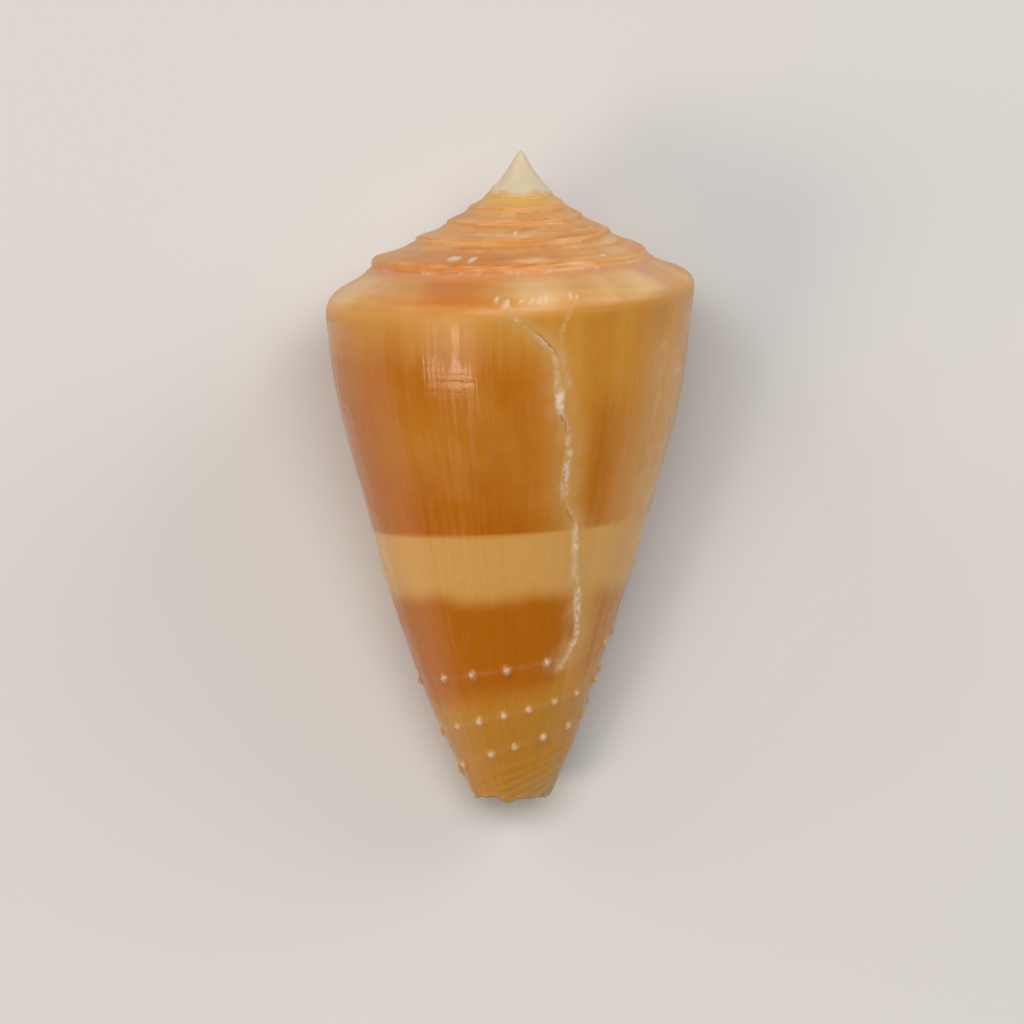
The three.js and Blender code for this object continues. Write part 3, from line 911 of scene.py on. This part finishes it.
@dataclass(frozen=True)
class Pigment:
    """Where each colour of the shell lies, as shares from 0 to 1 at the corners.

    The shares crust and crack say how strong those two fine lines are at each depth; their
    distances, in mm, are held beside them and the finish draws the lines from those.
    """

    coil: Coil = field(default_factory=Coil)
    relief: Relief = field(default_factory=Relief)
    band_top: float = 17.5
    band_bottom: float = 20.9
    amber_end: float = 24.7
    apex_depth: float = 1.95
    last_whorl_angle: float = -141.0
    # White chips beside the break and on the ledges, each an angle, a depth, half a width,
    # half a height and a strength
    chips: tuple[tuple[float, float, float, float, float], ...] = (
        (76.9, 11.45, 0.2, 0.6, 0.75),
        (-238.5, 4.86, 0.4, 0.085, 1.0),
        (-248.0, 4.84, 0.17, 0.11, 1.0),
        (-626.5, 3.72, 0.1, 0.07, 1.0),
        (-311.0, 4.75, 0.22, 0.04, 1.0),
    )
    # Cream patches on the last ramp, each an angle, a half width in degrees and a strength
    ramp_cream: tuple[tuple[float, float, float], ...] = (
        (163, 16, 0.9),
        (84, 9, 0.8),
        (60, 7, 0.5),
        (42, 14, 0.8),
        (15, 10, 0.4),
        (-30, 16, 0.6),
        (-90, 20, 0.5),
        (200, 14, 0.5),
    )

    def droplets(self, angle: Array, depth: Array, radius: Array) -> Array:
        """Share of the glossy droplets on the shoulder, which also places the painted glints on
        them.
        """
        height = self.relief.droplet_height(angle, depth, radius)
        return np.clip(1.6 * height * self.relief.last_whorl(angle), 0.0, 1.0)

    def chalk_and_glint(self, angle: Array, depth: Array, radius: Array, down: Array, side: Array) -> Array:
        """Share of chalky white on granules, threads, seams, chips and second line, and of painted
        glints in the same white on the droplets.

        Args:
            angle: Growth angles.
            depth: Depths below the apex.
            radius: Distances from the coiling axis.
            down: Shares of the whorl's height, from the seam to the base.
            side: 1 on the side of the last whorl.

        Returns:
            Shares from 0 to 1.
        """
        relief = self.relief
        second = relief.from_path(relief.second_path, angle, depth, radius)
        second_line = bell(second, 0.1) * relief.along_path(relief.second_path, depth)
        second_line = second_line * (0.6 + 0.5 * mottle(0.0, depth / 0.5, 46, 2))
        chalk_and_glint = 0.3 * second_line + 0.06 * relief.threads(angle, depth)
        _, granules = relief.granules(angle, depth, radius)
        chalk_and_glint = np.maximum(chalk_and_glint, 0.55 * granules) * side
        # Painted highlight: the shoulder droplets are coloured chalky white to stand in for the
        # glints on their glossy domes
        chalk_and_glint = np.maximum(chalk_and_glint, 0.75 * self.droplets(angle, depth, radius))
        chalk_and_glint = np.maximum(chalk_and_glint, 0.35 * relief.sutures(angle, down, radius))
        for place, low_at, half, tall, strength in self.chips:
            across = np.radians(angle - place) * radius / half
            beside = (depth - low_at) / tall
            chip = 1.0 - smoothstep(np.hypot(across, beside), 0.7, 1.15)
            chalk_and_glint = np.maximum(chalk_and_glint, strength * chip)
        return chalk_and_glint

    def masks(self, angle: Array, depth: Array, radius: Array, down: Array) -> dict[str, Array]:
        """Shares of every colour.

        Args:
            angle: Growth angles.
            depth: Depths below the apex.
            radius: Distances from the coiling axis.
            down: Shares of the whorl's height, from the seam to the base.

        Returns:
            Shares by the colour's name.
        """
        side = self.side_shares(angle, depth, radius, down)
        spire = self.spire_shares(angle, depth, down)
        shares = {**side, **spire}
        for name in ("cream", "rosy"):
            shares[name] = side[name] + spire[name]
        shares["satin"] = spire["satin"] * (1.0 - self.droplets(angle, depth, radius))
        return shares

    def side_shares(
        self, angle: Array, depth: Array, radius: Array, down: Array
    ) -> dict[str, Array]:
        """Shares of the colours on the last whorl's side, from the traits that masks takes."""
        relief = self.relief
        side = smoothstep(down, 0.17, 0.25) * (angle > self.last_whorl_angle)
        row = self.coil.row_depth(angle, depth)
        beyond = relief.from_path(relief.break_path, angle, depth, radius)
        later = smoothstep(beyond, -0.25, 0.35)
        stripes = mottle(angle / 9.0, depth / 60.0, 21, 3)
        clouds = mottle(angle / 26.0, depth / 4.5, 22, 3)

        # Amber above and below the pale band, even on the later side of the break
        bottom = self.band_bottom - 0.9 * np.clip(angle, 0, 180) / 180.0 + 0.25 * clouds
        band = smoothstep(row, self.band_top - 0.12, self.band_top + 0.12)
        lower = smoothstep(row, bottom - 0.75, bottom + 0.55)
        ends = 1.0 - smoothstep(row, self.amber_end - 0.7, self.amber_end + 1.2)
        shoulder = smoothstep(depth, 6.9, 10.5)
        deepening = 0.62 + 0.38 * smoothstep(beyond, 0.2, 2.8)
        dark_later = shoulder * (0.82 + 0.18 * clouds) * deepening
        zone = bell(angle - 57.5, 8.5) * smoothstep(row, 9.5, 13.0)
        older = 1.0 - smoothstep(angle, -20.0, 10.0)
        dark_older = 0.22 + 0.62 * zone + 0.5 * older * shoulder + 0.16 * stripes
        upper = (dark_later * later + dark_older * (1.0 - later)) * (1.0 - band)
        low_older = 0.5 + 0.45 * stripes + 0.3 * older
        low = (later * 0.95 + (1.0 - later) * low_older) * lower * ends

        above = (1.0 - band) * side
        # Painted reflection: pale and pink streaks near the right outline stand in for the side
        # light mirrored in the glaze
        painted_reflection_pale = bell(angle - 28.0, 13.0) * smoothstep(depth, 7.5, 9.5)
        painted_reflection_pink = bell(angle - 49.5, 2.8) * smoothstep(row, 11.5, 14.0)
        halo = relief.along_path(relief.break_path, depth) * bell(beyond + 0.1, 0.75)
        return {
            "amber": np.clip((upper + low) * side, 0.0, 1.0),
            "band": band * (1.0 - lower) * side,
            "base": smoothstep(row, self.amber_end - 0.3, self.amber_end + 1.6) * side,
            "tail": smoothstep(row, 28.6, 31.0) * side,
            # The side's cream and rosy shares are only the painted reflection near the right
            # outline
            "cream": 0.4 * painted_reflection_pale * (0.7 + 0.5 * stripes) * above,
            "rosy": 0.5 * painted_reflection_pink * (0.6 + 0.8 * stripes) * above,
            "halo": 0.65 * halo * side,
            "chalk_and_glint": self.chalk_and_glint(angle, depth, radius, down, side),
            "crust": np.clip(relief.crust(depth), 0.0, 0.9) * side,
            "crust_away": beyond,
            "crack": 0.85 * relief.cracked(depth) * side,
            # The crack runs on the older side of the crust above and on the later side below
            "crack_away": beyond + 0.17 - 0.25 * smoothstep(depth, 9.8, 11.0),
        }

    def spire_shares(self, angle: Array, depth: Array, down: Array) -> dict[str, Array]:
        """Shares of the colours on the spire and the last ramp.

        The spire is orange with cream, rust and rosy streaks, which run out on the last
        shoulder, and ends in a pale apex with an ochre ring below it.
        """
        last_whorl = angle > self.last_whorl_angle
        uneven = 0.07 * mottle(angle / 14.0, 0.3, 23, 3)
        spire = 1.0 - smoothstep(down, 0.04 + uneven, 0.3 + uneven)
        early = 1.0 - smoothstep(angle, -300.0, -120.0)
        spire = np.where(last_whorl, spire * 0.85, 1.0)
        satin = np.where(last_whorl, 1.0 - smoothstep(down, 0.215, 0.3 + 0.3 * uneven), 1.0)
        ramp = smoothstep(down, 0.0, 0.05) * (1.0 - smoothstep(down, 0.15, 0.22))
        cream = np.zeros(depth.shape)
        for place, half, strength in self.ramp_cream:
            ragged = half * (1.0 + 0.25 * mottle(down * 30.0, place, 24, 2))
            cream = np.maximum(cream, strength * bell((angle - place) / ragged, 1.0))
        cream = cream * ramp
        streaks = mottle(angle / 55.0, down * 38.0, 25, 3)
        patches = mottle(angle / 18.0, down * 9.0, 26, 3)
        cream = cream + early * np.clip(0.75 * streaks + 0.5 * patches - 0.25, 0.0, 0.7)
        rust = np.clip(0.55 * mottle(angle / 40.0, down * 30.0, 27, 3) + 0.1, 0.0, 1.0) * spire
        dark_ramp = bell(angle - 112.0, 16.0) * ramp
        rust = rust * (0.5 + 0.5 * early) + dark_ramp + 0.95 * bell(angle + 230.0, 60) * early
        rust = np.clip(rust * (1.0 - 0.7 * cream), 0.0, 1.0)
        rosy = 0.5 * bell(angle - 32.0, 5.0) * ramp + 0.12 * (down < 0.3) * spire
        rosy = rosy + 0.6 * bell(down - 0.012, 0.02) * (angle > -140)

        ragged = 0.16 * mottle(angle / 30.0, 0.5, 28, 3)
        apex_edge = self.apex_depth + ragged
        apex = 1.0 - smoothstep(depth, apex_edge - 0.2, apex_edge + 0.2)
        ochre = (1.0 - smoothstep(depth + 0.6 * ragged, 2.35, 2.75)) * (1.0 - apex)
        return {
            "spire": spire * (1.0 - apex),
            "rust": rust,
            "rosy": rosy,
            "cream": cream * (1.0 - apex),
            "ochre": ochre,
            "apex": apex,
            "satin": satin,
        }


def add_node(
    tree: bpy.types.NodeTree,
    kind: str,
    settings: dict[str, object] | None = None,
    inputs: dict[str | int, object] | None = None,
    output: str | int = 0,
) -> bpy.types.NodeSocket | None:
    """Add a node with its settings and links.

    Args:
        tree: Node tree that takes the node.
        kind: Type of the node, without its first word ShaderNode.
        settings: Values of the node's own properties.
        inputs: Sockets to link from, or values, by the input's name or number.
        output: Name or number of the output that feeds other nodes.

    Returns:
        That output, or nothing for a node without one.
    """
    made = tree.nodes.new("ShaderNode" + kind)
    for name, value in (settings or {}).items():
        setattr(made, name, value)
    for name, value in (inputs or {}).items():
        if isinstance(value, bpy.types.NodeSocket):
            tree.links.new(value, made.inputs[name])
        else:
            made.inputs[name].default_value = value
    return made.outputs[output] if made.outputs else None


@dataclass(frozen=True)
class GlazedShell:
    """Cone shell: layers of aragonite laid down by the living animal and naturally glazed.

    The eye gets a deep, warm body colour under a thin clear gloss, with fine growth lines that
    break the highlights, and matt chalky places where the surface is healed or worn.
    """

    ochre: str = "CC8F34"
    amber: str = "B26400"
    band: str = "D29F55"
    base: str = "BC832C"
    tail: str = "B28F58"
    spire: str = "D99D50"
    rust: str = "CA761C"
    # Rosy and cream are also the colours of the painted reflection near the right outline
    rosy: str = "CF8A66"
    cream: str = "E8BE84"
    yellow: str = "D9A858"
    apex: str = "D3C3A3"
    halo: str = "CBA064"
    # Chalky white, which also paints the glints on the shoulder droplets as painted highlights
    chalk_and_glint: str = "E2CDB4"
    crack: str = "7A4A1C"
    lining: str = "E0C090"
    refraction: float = 1.46
    roughness: float = 0.1
    worn_roughness: float = 0.36
    satin_roughness: float = 0.4
    chalk_roughening: float = 0.15
    translucence: float = 0.12
    # How far red, green and blue light spread under the surface
    light_reach_mm: tuple[float, float, float] = (1.6, 0.8, 0.35)
    line_shade: float = 0.05
    edge_wander: float = 16.0
    # Growth lines, spiral lines and grain are finer on the real shell than they are drawn here;
    # they are as coarse as they need to be to show
    growth_line_mm: float = 0.3
    spiral_line_mm: float = 0.35
    grain_mm: float = 0.08
    blotch_mm: float = 0.9
    # Beads of the crust, and half the width of the crust and of the crack in it
    bead_mm: float = 0.22
    crust_mm: float = 0.26
    crack_mm: float = 0.06
    wave_mm: float = 0.25
    relief_mm: float = 0.025

    def layers(self) -> list[tuple[str, str, float]]:
        """Colours from the bottom layer up: share's name, colour and raggedness of its edge."""
        return [
            ("base", self.base, 0.12),
            ("amber", self.amber, 0.1),
            ("band", self.band, 0.05),
            ("tail", self.tail, 0.15),
            ("spire", self.spire, 0.1),
            ("rust", self.rust, 0.25),
            ("cream", self.cream, 0.25),
            ("rosy", self.rosy, 0.15),
            ("ochre", self.yellow, 0.15),
            ("halo", self.halo, 0.3),
            ("apex", self.apex, 0.1),
            ("chalk_and_glint", self.chalk_and_glint, 0.35),
            ("crust", self.chalk_and_glint, 0.35),
            ("crack", self.crack, 0.1),
        ]

    def material(self) -> bpy.types.Material:
        """Make the finish as a node material."""
        material = bpy.data.materials.new("glazed_shell")
        material.use_nodes = True
        tree = material.node_tree
        tree.nodes.clear()
        noises = self.noises(tree)
        shares = {}
        for name in ("satin", "chalk_and_glint", "inside"):
            shares[name] = add_node(tree, "Attribute", {"attribute_name": name}, output="Fac")
        colour = self.toned_colour(tree, noises, shares)
        inputs = {
            "Base Color": colour,
            "Roughness": self.worn_gloss(tree, noises, shares),
            "IOR": self.refraction,
            "Normal": self.fine_relief(tree, noises, shares["satin"]),
            "Subsurface Weight": self.translucence,
            "Subsurface Radius": tuple(reach * MM for reach in self.light_reach_mm),
            "Subsurface Scale": 1.0,
        }
        shader = add_node(tree, "BsdfPrincipled", {}, inputs)
        add_node(tree, "OutputMaterial", {}, {"Surface": shader})
        return material

    def noises(self, tree: bpy.types.NodeTree) -> Sockets:
        """Add the noises on the growth coordinates and return them by name."""
        grow = add_node(tree, "Attribute", {"attribute_name": "grow"}, output="Vector")
        line, spiral = self.growth_line_mm, self.spiral_line_mm
        # Each a stretch on the three growth coordinates, a size in mm and a detail
        patterns = {
            "growth_lines": ((1.0, 1.0, 0.03), line, 4.0),
            "broad_lines": ((1.0, 1.0, 0.02), line * 5.0, 3.0),
            "spiral_lines": ((0.05, 0.05, 1.0), spiral, 3.0),
            "grain": ((1.0, 1.0, 1.0), self.grain_mm, 3.0),
            "blotches": ((1.0, 1.0, 1.0), self.blotch_mm, 4.0),
            "beads": ((1.0, 1.0, 1.0), self.bead_mm, 2.0),
            "worn_lines": ((1.0, 1.0, 0.06), line * 0.8, 2.0),
            "worn_bands": ((0.35, 0.35, 1.0), spiral * 5.0, 2.0),
        }
        made = {}
        for name, (stretch, size_mm, detail) in patterns.items():
            placed = add_node(tree, "VectorMath", {"operation": "MULTIPLY"}, {0: grow, 1: stretch})
            inputs = {"Vector": placed, "Scale": 1.0 / size_mm, "Detail": detail}
            made[name] = add_node(tree, "TexNoise", {}, inputs, "Fac")
        return made

    def fine_line(
        self, tree: bpy.types.NodeTree, distance: str, half_mm: float, beads: bpy.types.NodeSocket
    ) -> bpy.types.NodeSocket:
        """Add a fine, slightly wavy line that lies where a distance is nought.

        Args:
            tree: Node tree that takes the nodes.
            distance: Name of the distance that the corners hold, in mm.
            half_mm: Half of the line's width.
            beads: Noise that makes the line wavy.

        Returns:
            Share of the line.
        """
        away = add_node(tree, "Attribute", {"attribute_name": distance}, output="Fac")
        wave = {0: beads, 1: self.wave_mm, 2: away}
        waved = add_node(tree, "Math", {"operation": "MULTIPLY_ADD"}, wave)
        half_wave = {0: waved, 1: self.wave_mm / 2.0}
        centred = add_node(tree, "Math", {"operation": "SUBTRACT"}, half_wave)
        across = add_node(tree, "Math", {"operation": "ABSOLUTE"}, {0: centred})
        inputs = {
            "Value": across,
            "From Min": 0.3 * half_mm,
            "From Max": half_mm,
            "To Min": 1.0,
            "To Max": 0.0,
        }
        return add_node(tree, "MapRange", {"interpolation_type": "SMOOTHSTEP"}, inputs)

    def layered_colour(self, tree: bpy.types.NodeTree, noises: Sockets) -> object:
        """Lay the colours over each other by their shares, each with a ragged edge."""
        beads = noises["beads"]
        knobs = {"Value": beads, "From Min": 0.4, "From Max": 0.6, "To Min": 0.25, "To Max": 1.0}
        beady = add_node(tree, "MapRange", {}, knobs)
        crust_line = self.fine_line(tree, "crust_away", self.crust_mm, beads)
        fine_lines = {
            "crust": add_node(tree, "Math", {"operation": "MULTIPLY"}, {0: crust_line, 1: beady}),
            "crack": self.fine_line(tree, "crack_away", self.crack_mm, beads),
        }
        colour: object = linear_colour(self.ochre)
        for name, code, ragged in self.layers():
            share = add_node(tree, "Attribute", {"attribute_name": name}, output="Fac")
            if name in fine_lines:
                drawn = {0: share, 1: fine_lines[name]}
                share = add_node(tree, "Math", {"operation": "MULTIPLY"}, drawn)
            noise = beads if name == "chalk_and_glint" else noises["blotches"]
            centred = add_node(tree, "Math", {"operation": "SUBTRACT"}, {0: noise, 1: 0.5})
            rest = add_node(tree, "Math", {"operation": "SUBTRACT"}, {0: 1.0, 1: share})
            edge = add_node(tree, "Math", {"operation": "MULTIPLY"}, {0: share, 1: rest})
            reach = {0: centred, 1: self.edge_wander * ragged}
            wander = add_node(tree, "Math", {"operation": "MULTIPLY"}, reach)
            moved = {"operation": "MULTIPLY_ADD", "use_clamp": True}
            factor = add_node(tree, "Math", moved, {0: wander, 1: edge, 2: share})
            laid = {0: factor, 6: colour, 7: linear_colour(code)}
            colour = add_node(tree, "Mix", {"data_type": "RGBA"}, laid, 2)
        return colour

    def toned_colour(
        self, tree: bpy.types.NodeTree, noises: Sockets, shares: Sockets
    ) -> bpy.types.NodeSocket:
        """Shade the layered colour by the fine lines and add the pale lining inside."""
        colour = self.layered_colour(tree, noises)
        both = {0: noises["growth_lines"], 1: noises["broad_lines"]}
        doubled = add_node(tree, "Math", {"operation": "ADD"}, both)
        lines = add_node(tree, "Math", {"operation": "MULTIPLY"}, {0: doubled, 1: 0.5})
        chosen = {0: shares["satin"], 2: lines, 3: noises["spiral_lines"]}
        shade = {
            "Value": add_node(tree, "Mix", {}, chosen),
            "From Min": 0.3,
            "From Max": 0.7,
            "To Min": 1.0 - self.line_shade,
            "To Max": 1.0 + self.line_shade,
        }
        scaled = {0: colour, "Scale": add_node(tree, "MapRange", {}, shade)}
        toned = add_node(tree, "VectorMath", {"operation": "SCALE"}, scaled)
        lined = {0: shares["inside"], 6: toned, 7: linear_colour(self.lining)}
        return add_node(tree, "Mix", {"data_type": "RGBA"}, lined, 2)

    def worn_gloss(
        self, tree: bpy.types.NodeTree, noises: Sockets, shares: Sockets
    ) -> bpy.types.NodeSocket:
        """Roughness: gloss in short upright streaks, satin on the spire, matt where chalky."""
        worn = {0: noises["worn_bands"], 1: 0.7, 2: noises["worn_lines"]}
        streaks = {
            "Value": add_node(tree, "Math", {"operation": "MULTIPLY_ADD"}, worn),
            "From Min": 0.8,
            "From Max": 0.95,
            "To Min": self.roughness,
            "To Max": self.worn_roughness,
        }
        gloss = add_node(tree, "MapRange", {}, streaks)
        chosen = {0: shares["satin"], 2: gloss, 3: self.satin_roughness}
        glossy = add_node(tree, "Mix", {}, chosen)
        chalky = {0: shares["chalk_and_glint"], 1: self.chalk_roughening, 2: glossy}
        return add_node(tree, "Math", {"operation": "MULTIPLY_ADD"}, chalky)

    def fine_relief(
        self, tree: bpy.types.NodeTree, noises: Sockets, satin: bpy.types.NodeSocket
    ) -> bpy.types.NodeSocket:
        """Normal that is bent by the growth lines, the spiral lines and the grain."""
        add = {"operation": "MULTIPLY_ADD"}
        fewer = add_node(tree, "Math", add, {0: satin, 1: -0.7, 2: 1.0})
        upright = {0: noises["growth_lines"], 1: fewer}
        relief = add_node(tree, "Math", {"operation": "MULTIPLY"}, upright)
        relief = add_node(tree, "Math", add, {0: noises["grain"], 1: 0.12, 2: relief})
        relief = add_node(tree, "Math", add, {0: noises["spiral_lines"], 1: 0.3, 2: relief})
        inputs = {"Height": relief, "Strength": 1.0, "Distance": self.relief_mm * MM}
        return add_node(tree, "Bump", {}, inputs)


@dataclass
class Shell:
    """The shell as a finished object."""

    form: ShellForm = field(default_factory=ShellForm)
    pigment: Pigment = field(default_factory=Pigment)
    finish: GlazedShell = field(default_factory=GlazedShell)

    def build(self) -> Array:
        """Make the object with its mesh, its colour shares and its finish.

        Returns:
            Shift from the coiling axis' frame to the place where the shell lies, in mm.
        """
        skin = self.form.build()
        faces = skin.faces()
        used = np.unique(np.concatenate([np.ravel(face) for face in faces]))
        corners = skin.corners()[used]
        renumbered = np.full(skin.count, -1)
        renumbered[used] = np.arange(len(used))
        mesh = bpy.data.meshes.new("cone_shell")
        shift = self.form.resting_place(corners[:, :3])
        places = self.form.lie_down(corners[:, :3], shift)
        mesh.from_pydata(places.tolist(), [], [renumbered[face].tolist() for face in faces])
        mesh.polygons.foreach_set("use_smooth", [True] * len(mesh.polygons))
        angle, depth, down, inside = corners[:, 3:].T
        radius = np.hypot(corners[:, 0], corners[:, 2])
        shares = self.pigment.masks(angle, depth, radius, down)
        shares["inside"] = inside
        for name, values in shares.items():
            made = mesh.attributes.new(name, "FLOAT", "POINT")
            made.data.foreach_set("value", np.asarray(values, np.float32))
        around = np.radians(angle)
        grow = np.stack([8.0 * np.cos(around), 8.0 * np.sin(around), depth], axis=1)
        made = mesh.attributes.new("grow", "FLOAT_VECTOR", "POINT")
        made.data.foreach_set("vector", grow.astype(np.float32).ravel())
        mesh.update()
        shell = bpy.data.objects.new("cone_shell", mesh)
        bpy.context.scene.collection.objects.link(shell)
        mesh.materials.append(self.finish.material())
        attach(shell, "root")
        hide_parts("shell")
        triangles = sum(len(face) - 2 for face in faces)
        log.info("shell: %d corners, %d triangles", len(used), triangles)
        return shift


@dataclass(frozen=True)
class PaperFloor:
    """Sheet of smooth matt paper under the shell: an even, pale ground for a soft shadow."""

    tone: str = "D4D2CE"
    roughness: float = 0.9
    size: float = 3.0

    def build(self) -> None:
        """Lay the floor at the shell's lowest level."""
        bpy.ops.mesh.primitive_plane_add(size=self.size, location=(0.0, 0.0, 0.0))
        floor = bpy.context.object
        floor.name = "paper_floor"
        material = bpy.data.materials.new("matt_paper")
        material.use_nodes = True
        shader = material.node_tree.nodes["Principled BSDF"]
        shader.inputs["Base Color"].default_value = linear_colour(self.tone)
        shader.inputs["Roughness"].default_value = self.roughness
        floor.data.materials.append(material)
        log.info("floor: %.1f m square", self.size)


@dataclass(frozen=True)
class SoftLight:
    """Rectangular soft light that faces the shell, in metres and watts.

    Its direction is seen from the shell, its size is a width and a height, and its width runs
    roughly along the given line.
    """

    name: str
    direction: tuple[float, float, float]
    distance: float
    size: tuple[float, float]
    power: float
    width_runs: tuple[float, float, float] = (1.0, 0.0, 0.0)
    tint: tuple[float, float, float] = (1.0, 1.0, 1.0)

    def hang(self, aim: Vector) -> None:
        """Hang the light so that it faces a point."""
        data = bpy.data.lights.new(self.name, "AREA")
        data.shape = "RECTANGLE"
        data.size, data.size_y = self.size
        data.energy = self.power
        data.color = self.tint
        made = bpy.data.objects.new(self.name, data)
        towards = Vector(self.direction).normalized()
        upward = towards.cross(Vector(self.width_runs)).normalized()
        across = upward.cross(towards)
        made.matrix_world = Matrix((across, upward, towards)).transposed().to_4x4()
        made.location = aim + towards * self.distance
        bpy.context.scene.collection.objects.link(made)


@dataclass(frozen=True)
class Studio:
    """Soft lights and the camera, about the shell's own size in metres."""

    aim: tuple[float, float, float] = (0.0, 0.0, 0.008)
    elevation: float = 84.4
    camera_distance: float = 0.35
    lens_mm: float = 249.3
    world_tint: tuple[float, float, float, float] = (0.9, 0.92, 1.0, 1.0)
    world_strength: float = 0.11
    lamp: tuple[float, float, float] = (1.0, 0.8, 0.64)
    lamp_runs: tuple[float, float, float] = (-0.46, 0.13, -0.47)

    def lights(self) -> list[SoftLight]:
        """The warm window light in two panes, and three even lights above and beside."""
        warm = (self.lamp_runs, self.lamp)
        return [
            SoftLight("window", (-0.56, -0.38, 0.73), 0.5, (0.18, 0.15), 0.66, *warm),
            SoftLight("window_pane", (-0.78, -0.34, 0.52), 0.5, (0.035, 0.15), 0.14, *warm),
            SoftLight("overhead", (0.0, 0.14, 0.99), 0.7, (0.6, 0.26), 3.0),
            SoftLight("right", (0.75, 0.5, 0.45), 0.6, (0.4, 0.3), 1.3),
            SoftLight("left", (-0.75, 0.5, 0.45), 0.6, (0.4, 0.3), 0.7),
        ]

    def build(self, middle: Vector) -> None:
        """Hang the lights, set the world and place the camera.

        Args:
            middle: Point that the camera looks at.
        """
        for light in self.lights():
            light.hang(Vector(self.aim))
        world = bpy.data.worlds.new("studio")
        world.use_nodes = True
        background = world.node_tree.nodes["Background"]
        background.inputs["Color"].default_value = self.world_tint
        background.inputs["Strength"].default_value = self.world_strength
        bpy.context.scene.world = world
        bpy.context.scene.view_settings.view_transform = "Standard"
        self.camera(middle)
        log.info("studio: lights, world and camera")

    def camera(self, middle: Vector) -> None:
        """Place the camera over the back, a little towards the base."""
        lean = math.radians(90.0 - self.elevation)
        back = Vector((0.0, -math.sin(lean), math.cos(lean)))
        data = bpy.data.cameras.new("camera")
        data.lens = self.lens_mm
        data.clip_start = 0.01
        camera = bpy.data.objects.new("camera", data)
        camera.location = middle + back * self.camera_distance
        camera.rotation_euler = back.to_track_quat("Z", "Y").to_euler()
        bpy.context.scene.collection.objects.link(camera)
        bpy.context.scene.camera = camera


def main() -> None:
    """Build the scene piece by piece."""
    logging.basicConfig(level=logging.INFO)
    shell = Shell()
    shift = shell.build()
    PaperFloor().build()
    middle = np.array([[-VIEW_OFFSET, -VIEW_DEPTH, 0.0]])
    Studio().build(Vector(shell.form.lie_down(middle, shift)[0]))


if __name__ == "__main__":
    main()
